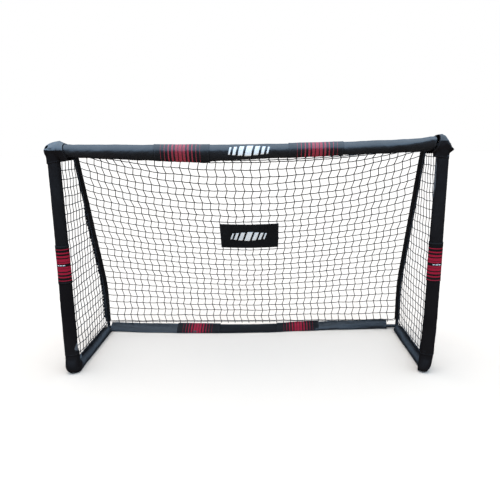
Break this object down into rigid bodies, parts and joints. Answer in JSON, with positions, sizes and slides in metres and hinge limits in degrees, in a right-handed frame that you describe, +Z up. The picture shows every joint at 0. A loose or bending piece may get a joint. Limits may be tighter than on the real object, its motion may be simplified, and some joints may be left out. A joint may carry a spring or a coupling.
{
  "type": "soccer goal frame",
  "caption": "Padded garden soccer goal: push-fit tube frame with roof struts and ground bars, fabric sleeves, striped bands and a string net on the back and sides.",
  "frame": {"origin": "on the ground, in the middle of the footprint", "axes": "+X to the right of a player facing the open mouth, +Y from the mouth to the back, +Z up"},
  "size_m": [2.464, 0.9, 1.504],
  "materials": {
    "tube": "black powder coat",
    "fitting": "black powder coat",
    "foam": "closed-cell foam",
    "sleeve_cloth": "black coated polyester with a blue-grey sheen",
    "striped_cloth": "black polyester printed with crimson stripes",
    "net_string": "knotless polyester string",
    "badge_cloth": "black polyester with a pale printed emblem",
    "snap_button": "zinc plated"
  },
  "bodies": {
    "goal_frame": {"crossbar_tube_left": "tube", "rear_tube_left": "tube", "crossbar_sleeve_left": "sleeve_cloth", "rear_sleeve_left": "sleeve_cloth", "crossbar_tube_centre": "tube", "rear_tube_centre": "tube", "crossbar_sleeve_centre": "sleeve_cloth", "rear_sleeve_centre": "sleeve_cloth", "crossbar_tube_right": "tube", "rear_tube_right": "tube", "crossbar_sleeve_right": "sleeve_cloth", "rear_sleeve_right": "sleeve_cloth", "post_tube_upper_left": "tube", "post_tube_lower_left": "tube", "side_tube_left": "tube", "strut_tube_upper_left": "tube", "strut_tube_lower_left": "tube", "top_corner_left": "fitting", "front_elbow_left": "fitting", "rear_corner_left": "fitting", "post_foam_left": "foam", "post_sleeve_upper_left": "sleeve_cloth", "post_sleeve_lower_left": "sleeve_cloth", "side_sleeve_left": "sleeve_cloth", "strut_sleeve_left": "sleeve_cloth", "corner_cap_left": "sleeve_cloth", "crossbar_band_left": "striped_cloth", "post_band_left": "striped_cloth", "rear_band_left": "striped_cloth", "net_side_left": "net_string", "post_tube_upper_right": "tube", "post_tube_lower_right": "tube", "side_tube_right": "tube", "strut_tube_upper_right": "tube", "strut_tube_lower_right": "tube", "top_corner_right": "fitting", "front_elbow_right": "fitting", "rear_corner_right": "fitting", "post_foam_right": "foam", "post_sleeve_upper_right": "sleeve_cloth", "post_sleeve_lower_right": "sleeve_cloth", "side_sleeve_right": "sleeve_cloth", "strut_sleeve_right": "sleeve_cloth", "corner_cap_right": "sleeve_cloth", "crossbar_band_right": "striped_cloth", "post_band_right": "striped_cloth", "rear_band_right": "striped_cloth", "net_side_right": "net_string", "crossbar_foam": "foam", "net_back": "net_string", "net_badge": "badge_cloth"},
    "button_crossbar_left": {"snap_button_crossbar_left": "snap_button"},
    "button_crossbar_right": {"snap_button_crossbar_right": "snap_button"},
    "button_post_left": {"snap_button_post_left": "snap_button"},
    "button_post_right": {"snap_button_post_right": "snap_button"},
    "button_rear_left": {"snap_button_rear_left": "snap_button"},
    "button_rear_right": {"snap_button_rear_right": "snap_button"},
    "button_strut_left": {"snap_button_strut_left": "snap_button"},
    "button_strut_right": {"snap_button_strut_right": "snap_button"}
  },
  "joints": [
    {"name": "press_crossbar_left", "type": "slide", "parent": "goal_frame", "child": "button_crossbar_left", "axis": [0, 0, 1], "range_m": [0, 0.0028], "stiffness_N_per_m": 600, "springref_m": -0.003},
    {"name": "press_crossbar_right", "type": "slide", "parent": "goal_frame", "child": "button_crossbar_right", "axis": [0, 0, 1], "range_m": [0, 0.0028], "stiffness_N_per_m": 600, "springref_m": -0.003},
    {"name": "press_post_left", "type": "slide", "parent": "goal_frame", "child": "button_post_left", "axis": [0, -1, 0], "range_m": [0, 0.0028], "stiffness_N_per_m": 600, "springref_m": -0.003},
    {"name": "press_post_right", "type": "slide", "parent": "goal_frame", "child": "button_post_right", "axis": [0, -1, 0], "range_m": [0, 0.0028], "stiffness_N_per_m": 600, "springref_m": -0.003},
    {"name": "press_rear_left", "type": "slide", "parent": "goal_frame", "child": "button_rear_left", "axis": [0, 0, -1], "range_m": [0, 0.0028], "stiffness_N_per_m": 600, "springref_m": -0.003},
    {"name": "press_rear_right", "type": "slide", "parent": "goal_frame", "child": "button_rear_right", "axis": [0, 0, -1], "range_m": [0, 0.0028], "stiffness_N_per_m": 600, "springref_m": -0.003},
    {"name": "press_strut_left", "type": "slide", "parent": "goal_frame", "child": "button_strut_left", "axis": [-1, 0, 0], "range_m": [0, 0.0028], "stiffness_N_per_m": 600, "springref_m": -0.003},
    {"name": "press_strut_right", "type": "slide", "parent": "goal_frame", "child": "button_strut_right", "axis": [1, 0, 0], "range_m": [0, 0.0028], "stiffness_N_per_m": 600, "springref_m": -0.003}
  ]
}
